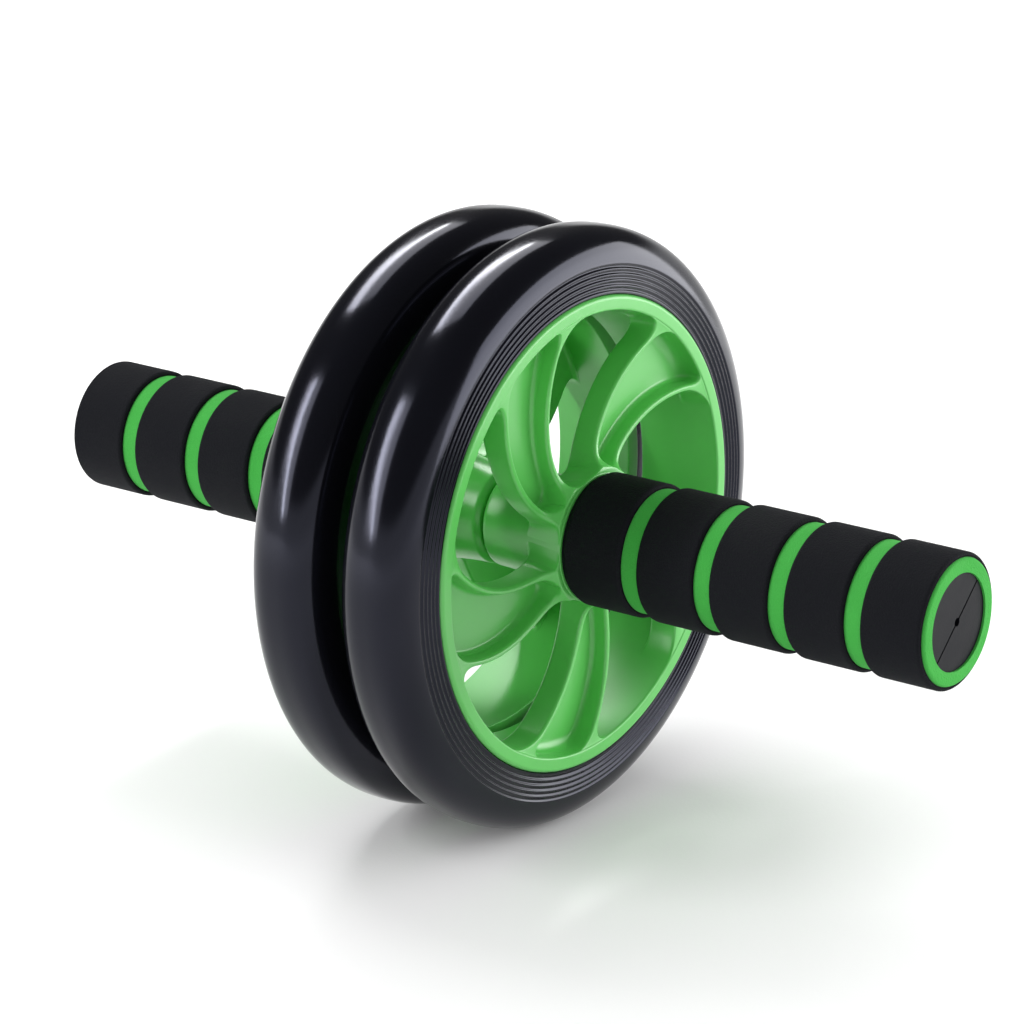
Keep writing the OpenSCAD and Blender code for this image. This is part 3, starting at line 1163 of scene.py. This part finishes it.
    def rim(self) -> Skin:
        """Rim: a drafted wall with a flange at each edge and rounded lips.

        Returns:
            The closed ring.
        """
        sizes = self.sizes
        corners = np.array(
            [
                [sizes.rim_in, self.rim_radius(sizes.rim_in)],
                [sizes.rim_in, sizes.step_r],
                [sizes.seat_in, sizes.step_r],
                [sizes.seat_in, sizes.seat_r],
                [sizes.seat_out, sizes.seat_r],
                [sizes.seat_out, sizes.lip_r],
                [sizes.rim_out, sizes.lip_r],
                [sizes.rim_out, self.rim_radius(sizes.rim_out)],
            ]
        )
        hidden = [self.seat_round] * 4
        radii = [self.back_round, self.back_lip_round, *hidden, self.lip_round, self.lip_inner_round]
        return revolve(rounded(corners, np.array(radii)), self.rim_steps)

    def boss(self) -> Skin:
        """Boss: a trumpet outside, and inside the bushes' bore with a recess at each end.

        Returns:
            The closed ring.
        """
        sizes, bevel, edge = self.sizes, self.boss_bevel, self.boss_edge
        x = np.linspace(sizes.boss_out - edge, sizes.boss_in + bevel, self.flare_points)
        flare = np.stack([x, self.boss_radius(x)], axis=1)
        end_r = float(self.boss_radius(sizes.boss_out))
        start_r = float(self.boss_radius(sizes.boss_in + bevel))
        t = np.linspace(0, QUARTER_TURN, 6)[:-1]
        # The rounding stays just inside the flare, so that the outline doesn't fold
        inset = 0.05
        lip_r = end_r - edge - inset
        lip = np.stack([sizes.boss_out - edge + edge * np.cos(t), lip_r + edge * np.sin(t)], axis=1)
        # The bevel's ends are eased a little
        ease, dip = 0.15, 0.1
        foot = np.array(
            [
                [sizes.boss_in + bevel - 2 * dip, start_r - dip],
                [sizes.boss_in + ease, start_r - bevel + ease],
                [sizes.boss_in, start_r - bevel - dip],
            ]
        )
        inside = np.array(
            [
                [sizes.boss_in, self.recess_r],
                [sizes.boss_in + self.inner_recess, self.recess_r],
                [sizes.boss_in + self.inner_recess, self.bore_r],
                [sizes.boss_out - self.outer_recess, self.bore_r],
                [sizes.boss_out - self.outer_recess, self.recess_r],
                [sizes.boss_out, self.recess_r],
            ]
        )
        return revolve(np.concatenate([lip, flare, foot, inside]), self.boss_steps)

    def build(self) -> bpy.types.Object:
        """Makes the hub in place of its node and lets it turn with its wheel.

        Returns:
            The hub.
        """
        name = f"hub_{self.side.value}"
        skins = [self.rim(), self.boss()] + [self.spoke(k) for k in range(self.spoke_count)]
        piece = make_object(
            f"{name}_moulding", [skin.on_side(self.side) for skin in skins], crease_deg=38
        )
        dress(piece, GREEN_ABS)
        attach(piece, self.side.body)
        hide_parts(name)
        return piece


# Grips


@dataclass(frozen=True)
class Grip:
    """Two-layer foam grip: a green sleeve, and black bands over it with grooves between.

    Args:
        sizes: The roller's main sizes.
        side: The end of the axle that it sits on.
        band_count: Number of bands.
        core_r: Radius of the core under the sleeve.
        bore_round: Rounding of each tube's inner edges.
        sleeve_round: Rounding of the sleeve's outer edges.
        band_round: Rounding of a band's outer edges.
        wander_mm: How far a cut end wanders along the axle.
        wave_reach: A little over 1 + 1/2 + 1/3, the most that the waves of an end add up to.
        sleeve_seed: Number that settles the sleeve's waves.
        band_seed: The same for the bands, to which each adds its number.
        steps: Number of steps round the axle.
    """

    sizes: Sizes
    side: Side
    band_count: int = 5
    core_r: float = 14.5
    bore_round: float = 0.15
    sleeve_round: float = 1.1
    band_round: float = 1.25
    wander_mm: float = 0.12
    wave_reach: float = 1.9
    sleeve_seed: int = 1
    band_seed: int = 10
    steps: int = 160

    def foam_ring(
        self, low: float, high: float, inner: float, outer: float, edge: float, seed: int
    ) -> Skin:
        """A foam tube with soft edges that wander a little.

        Formula: the rounded outline turned about the axle. Its ends shift along the axle by a
        sum of three waves round it, whose phases come from the seed.

        Args:
            low: Where it starts along the axle.
            high: Where it ends.
            inner: Inner radius.
            outer: Outer radius.
            edge: Rounding of the outer edges.
            seed: Number that settles the waves.

        Returns:
            The closed tube.
        """
        corners = np.array([[low, inner], [high, inner], [high, outer], [low, outer]])
        outline = rounded(corners, np.array([self.bore_round, self.bore_round, edge, edge]))
        skin = revolve(outline, self.steps)
        points = skin.points.copy()
        angle = np.arctan2(points[:, 2], points[:, 1])
        phases = np.random.default_rng(seed).uniform(0, TURN, (2, 3))
        middle = (low + high) / 2
        for end, phase in ((-1, phases[0]), (1, phases[1])):
            waves = sum(np.sin((k + 2) * angle + phase[k]) / (k + 1) for k in range(3))
            reach = np.clip(end * (points[:, 0] - middle) / (high - middle), 0, 1) ** 3
            points[:, 0] -= end * reach * self.wander_mm * (waves + self.wave_reach) / 2
        return Skin(points, skin.faces)

    def finish_piece(self, piece: bpy.types.Object, node: str, finish: Finish) -> None:
        """Dresses a foam piece and sets it in place of its node.

        Args:
            piece: The foam piece.
            node: Name of the node that it stands for.
            finish: Its finish.
        """
        dress(piece, finish)
        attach(piece, "handle_frame")
        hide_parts(node)

    def build_sleeve(self) -> bpy.types.Object:
        """Makes the green inner layer.

        Returns:
            The sleeve.
        """
        sizes = self.sizes
        node = f"sleeve_{self.side.value}"
        skin = self.foam_ring(
            sizes.sleeve_in,
            sizes.grip_end,
            self.core_r,
            sizes.sleeve_r,
            self.sleeve_round,
            self.sleeve_seed,
        )
        piece = make_object(f"{node}_foam", [skin.on_side(self.side)], crease_deg=50)
        self.finish_piece(piece, node, GREEN_FOAM)
        return piece

    def build_band(self, number: int) -> bpy.types.Object:
        """Makes one black band.

        Args:
            number: Which band it is, from 1 by the wheel outwards.

        Returns:
            The band.
        """
        node = f"band_{number}_{self.side.value}"
        low, high = sorted(abs((corner / MM).x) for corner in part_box(node))
        skin = self.foam_ring(
            low,
            high,
            self.sizes.sleeve_r,
            self.sizes.band_r,
            self.band_round,
            self.band_seed + number,
        )
        piece = make_object(f"{node}_foam", [skin.on_side(self.side)], crease_deg=50)
        self.finish_piece(piece, node, BLACK_FOAM)
        return piece

    def build(self) -> list[bpy.types.Object]:
        """Makes the sleeve and its bands."""
        return [self.build_sleeve()] + [self.build_band(k) for k in range(1, self.band_count + 1)]


# Running gear


@dataclass(frozen=True)
class RunningGear:
    """The pieces whose shape the frame already holds: axle, washers, bushes and handle cores.

    Args:
        nodes: The frame's nodes by their names.
    """

    nodes: dict[str, bpy.types.Object]

    def dress_all(self) -> int:
        """Gives each of them its finish, by a word in its name.

        Returns:
            How many pieces were dressed.
        """
        finishes = {"axle": PLATED_STEEL, "washer": PLATED_STEEL, "bush": NYLON, "core": BLACK_PP}
        count = 0
        for name, piece in self.nodes.items():
            for word, finish in finishes.items():
                if word in name:
                    dress(piece, finish)
                    count += 1
        return count


# Studio


@dataclass(frozen=True)
class Softbox:
    """A rectangular lamp that looks at the middle of the axle and that the camera doesn't see.

    Args:
        name: The lamp's name.
        direction: Where it stands, as a direction from the middle of the axle.
        distance: How far away, in metres.
        size: Its length and width in metres.
        watts: Its power.
        along: The direction that its length follows.
    """

    name: str
    direction: tuple[float, float, float]
    distance: float
    size: tuple[float, float]
    watts: float
    along: tuple[float, float, float] = (0.0, 0.0, 1.0)

    def build(self) -> bpy.types.Object:
        """Adds the lamp.

        Returns:
            The lamp.
        """
        data = bpy.data.lights.new(self.name, "AREA")
        data.shape = "RECTANGLE"
        data.size, data.size_y = self.size
        data.energy = self.watts
        lamp = bpy.data.objects.new(self.name, data)
        lamp.visible_camera = False
        away = Vector(self.direction).normalized()
        length = Vector(self.along) - away * Vector(self.along).dot(away)
        length.normalize()
        width = away.cross(length)
        turned = Matrix((length, width, away)).transposed().to_4x4()
        lamp.matrix_world = Matrix.Translation(away * self.distance) @ turned
        bpy.context.scene.collection.objects.link(lamp)
        return lamp


@dataclass(frozen=True)
class Studio:
    """Pale floor, soft lamps, a white surround and the camera.

    Args:
        sizes: The roller's main sizes.
        azimuth_deg: Angle of the camera round Z, from -Y towards +X.
        elevation_deg: Angle of the camera above the floor.
        distance_mm: How far the camera stands from its target.
        lens_mm: Its focal length.
        sensor_mm: Width of its film.
        aim_right_mm: How far its target lies to the right of the origin, as it sees it.
        aim_up_mm: How far its target lies above the origin, as it sees it.
        floor_radius_m: Radius of the floor.
        floor_steps: Number of corners of the floor.
        floor_colour: Its sRGB colour.
        paper_grain_mm: Size of the grain of its paper.
        paper_relief_mm: Height of that grain.
        near_glow: Glow of the floor near the roller.
        far_glow: Its glow far away.
        near_glow_m: Distance at which the glow begins to rise.
        far_glow_m: Distance at which it has risen.
        surround: Strength of the world as a light.
        ceiling: Strength of the ceiling that the roller mirrors.
        horizon_deg: Elevation at which the mirrored white wall begins to dim.
        ceiling_deg: Elevation at which it has dimmed to the ceiling's strength.
    """

    sizes: Sizes
    azimuth_deg: float = 36.499
    elevation_deg: float = 18.611
    distance_mm: float = 1362.19
    lens_mm: float = 158.04
    sensor_mm: float = 36.0
    aim_right_mm: float = 1.141
    aim_up_mm: float = 1.19
    floor_radius_m: float = 8.0
    floor_steps: int = 96
    floor_colour: str = "#F6F6F6"
    paper_grain_mm: float = 1.11
    paper_relief_mm: float = 0.2
    near_glow: float = 0.04
    far_glow: float = 0.48
    near_glow_m: float = 0.35
    far_glow_m: float = 0.8
    surround: float = 0.62
    ceiling: float = 0.1
    horizon_deg: float = 5.0
    ceiling_deg: float = 13.0

    def camera(self) -> bpy.types.Object:
        """Adds the camera where the photograph was taken from.

        Formula: it stands back from its target by the distance, in the direction that the
        azimuth and elevation give, and the target lies a little right of and above the origin.

        Returns:
            The camera.
        """
        azimuth, elevation = math.radians(self.azimuth_deg), math.radians(self.elevation_deg)
        back = Vector(
            (
                math.sin(azimuth) * math.cos(elevation),
                -math.cos(azimuth) * math.cos(elevation),
                math.sin(elevation),
            )
        )
        right = Vector((math.cos(azimuth), math.sin(azimuth), 0))
        up = back.cross(right)
        target = (right * self.aim_right_mm + up * self.aim_up_mm) * MM
        data = bpy.data.cameras.new("camera")
        data.lens = self.lens_mm
        data.sensor_width = self.sensor_mm
        data.sensor_fit = "HORIZONTAL"
        data.clip_start = 0.01
        eye = bpy.data.objects.new("camera", data)
        turned = Matrix((right, up, back)).transposed().to_4x4()
        eye.matrix_world = Matrix.Translation(target + back * self.distance_mm * MM) @ turned
        bpy.context.scene.collection.objects.link(eye)
        bpy.context.scene.camera = eye
        return eye

    @staticmethod
    def shown(tree: bpy.types.NodeTree) -> bpy.types.NodeSocket:
        """Marks the rays that show the background: from the camera, mirrored or through glass.

        Args:
            tree: The node tree that gets the nodes.

        Returns:
            One for such a ray and zero for any other.
        """
        path = add_node(tree, "ShaderNodeLightPath").outputs
        seen = add_node(
            tree,
            "ShaderNodeMath",
            {"operation": "MAXIMUM"},
            {0: path["Is Camera Ray"], 1: path["Is Glossy Ray"]},
        ).outputs[0]
        return add_node(
            tree,
            "ShaderNodeMath",
            {"operation": "MAXIMUM"},
            {0: seen, 1: path["Is Transmission Ray"]},
        ).outputs[0]

    def paper(self) -> bpy.types.Material:
        """Matt white paper, whose glow makes the background white past the lamps' reach.

        Formula: what is seen of it glows by an amount that rises smoothly from the near to the
        far value with the distance from the middle, as the lamps' light on it falls.

        Returns:
            The floor's material.
        """
        made = bpy.data.materials.new("matt_white_paper")
        made.use_nodes = True
        tree = made.node_tree
        tree.nodes.clear()
        place = add_node(tree, "ShaderNodeTexCoord").outputs["Object"]
        speckle = add_node(
            tree,
            "ShaderNodeTexNoise",
            {"Scale": 1 / (self.paper_grain_mm * MM), "Detail": 2.0},
            {"Vector": place},
        ).outputs["Fac"]
        bump = add_node(
            tree,
            "ShaderNodeBump",
            {"Strength": 0.2, "Distance": self.paper_relief_mm * MM},
            {"Height": speckle},
        ).outputs["Normal"]
        distance = add_node(
            tree, "ShaderNodeVectorMath", {"operation": "LENGTH"}, {0: place}
        ).outputs["Value"]
        level = add_node(
            tree,
            "ShaderNodeMapRange",
            {
                "interpolation_type": "SMOOTHSTEP",
                "From Min": self.near_glow_m,
                "From Max": self.far_glow_m,
                "To Min": self.near_glow,
                "To Max": self.far_glow,
            },
            {"Value": distance},
        ).outputs["Result"]
        glow = add_node(
            tree, "ShaderNodeMath", {"operation": "MULTIPLY"}, {0: self.shown(tree), 1: level}
        ).outputs[0]
        shader = add_node(
            tree,
            "ShaderNodeBsdfPrincipled",
            {
                "Base Color": linear(self.floor_colour),
                "Roughness": 0.9,
                "Specular IOR Level": 0.1,
                "Emission Color": WHITE,
            },
            {"Normal": bump, "Emission Strength": glow},
        )
        add_node(tree, "ShaderNodeOutputMaterial", {}, {"Surface": shader.outputs[0]})
        return made

    def floor(self) -> bpy.types.Object:
        """Adds the floor, a pale disc under the tyres.

        Returns:
            The floor.
        """
        angle = np.linspace(0, TURN, self.floor_steps, endpoint=False)
        height = np.full(self.floor_steps, self.sizes.floor_z * MM)
        rim = np.stack(
            [self.floor_radius_m * np.cos(angle), self.floor_radius_m * np.sin(angle), height], axis=1
        )
        mesh = bpy.data.meshes.new("floor")
        mesh.from_pydata(rim.tolist(), [], [list(range(self.floor_steps))])
        mesh.materials.append(self.paper())
        piece = bpy.data.objects.new("floor", mesh)
        bpy.context.scene.collection.objects.link(piece)
        return piece

    def world(self) -> None:
        """Sets a surround that lights the object evenly and mirrors a white wall and dim ceiling.

        Formula: what is mirrored is white up to the horizon band's top and falls smoothly to the
        ceiling's level, by the sine of the elevation. The camera sees white everywhere.
        """
        world = bpy.data.worlds.new("studio")
        bpy.context.scene.world = world
        world.use_nodes = True
        tree = world.node_tree
        tree.nodes.clear()
        direction = add_node(tree, "ShaderNodeTexCoord").outputs["Object"]
        height = add_node(tree, "ShaderNodeSeparateXYZ", {}, {0: direction}).outputs["Z"]
        wall = add_node(
            tree,
            "ShaderNodeMapRange",
            {
                "interpolation_type": "SMOOTHSTEP",
                "From Min": math.sin(math.radians(self.horizon_deg)),
                "From Max": math.sin(math.radians(self.ceiling_deg)),
                "To Min": 1.0,
                "To Max": self.ceiling,
            },
            {"Value": height},
        ).outputs["Result"]
        mirrored = add_node(
            tree,
            "ShaderNodeMapRange",
            {"To Min": self.surround},
            {"Value": self.shown(tree), "To Max": wall},
        ).outputs["Result"]
        camera_ray = add_node(tree, "ShaderNodeLightPath").outputs["Is Camera Ray"]
        strength = add_node(
            tree, "ShaderNodeMath", {"operation": "MAXIMUM"}, {0: mirrored, 1: camera_ray}
        ).outputs[0]
        light = add_node(tree, "ShaderNodeBackground", {"Color": WHITE}, {"Strength": strength})
        add_node(tree, "ShaderNodeOutputWorld", {}, {"Surface": light.outputs[0]})

    def lamps(self) -> list[bpy.types.Object]:
        """Adds the soft lamps.

        Two strips on the left, end to end with a gap between, draw the long highlights on the
        tyres. Each is a soft box with a brighter tube along it. A low panel behind on the right
        draws the band on the tyres' shoulders and brightens the outer faces of the hub.

        Returns:
            The lamps.
        """
        level, steep = (0.0, 0.93, -0.12), (0.0, 0.65, 0.76)
        boxes = (
            Softbox("top_box", (-0.42, 0.32, 0.8), 1.6, (1.3, 0.5), 6.5, level),
            Softbox("top_tube", (-0.57, 0.3, 0.75), 1.5, (1.2, 0.09), 7.5, level),
            Softbox("left_box", (-0.46, -0.76, 0.42), 1.65, (1.35, 0.3), 5.0, steep),
            Softbox("left_tube", (-0.56, -0.72, 0.4), 1.55, (1.2, 0.07), 8.0, steep),
            Softbox("back_panel", (0.7, 0.7, 0.17), 0.95, (0.5, 0.95), 7.0),
        )
        return [box.build() for box in boxes]

    def build(self) -> None:
        """Sets the whole studio up."""
        self.camera()
        self.floor()
        self.world()
        self.lamps()
        bpy.context.scene.view_settings.view_transform = "Standard"


def main() -> None:
    """Builds the roller around the frame, dresses it and sets up the studio."""
    logging.basicConfig(level=logging.INFO, format="%(name)s: %(message)s")
    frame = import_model()
    sizes = Sizes.from_frame()
    Studio(sizes).build()
    for side in Side:
        pieces = [Tyre(sizes, side).build(), Hub(sizes, side, HUB_TURN_DEG[side]).build()]
        pieces += Grip(sizes, side).build()
        for piece in pieces:
            LOG.info("%s: %d faces", piece.name, len(piece.data.polygons))
    LOG.info("dressed %d pieces of the frame", RunningGear(frame["nodes"]).dress_all())


if __name__ == "__main__":
    main()
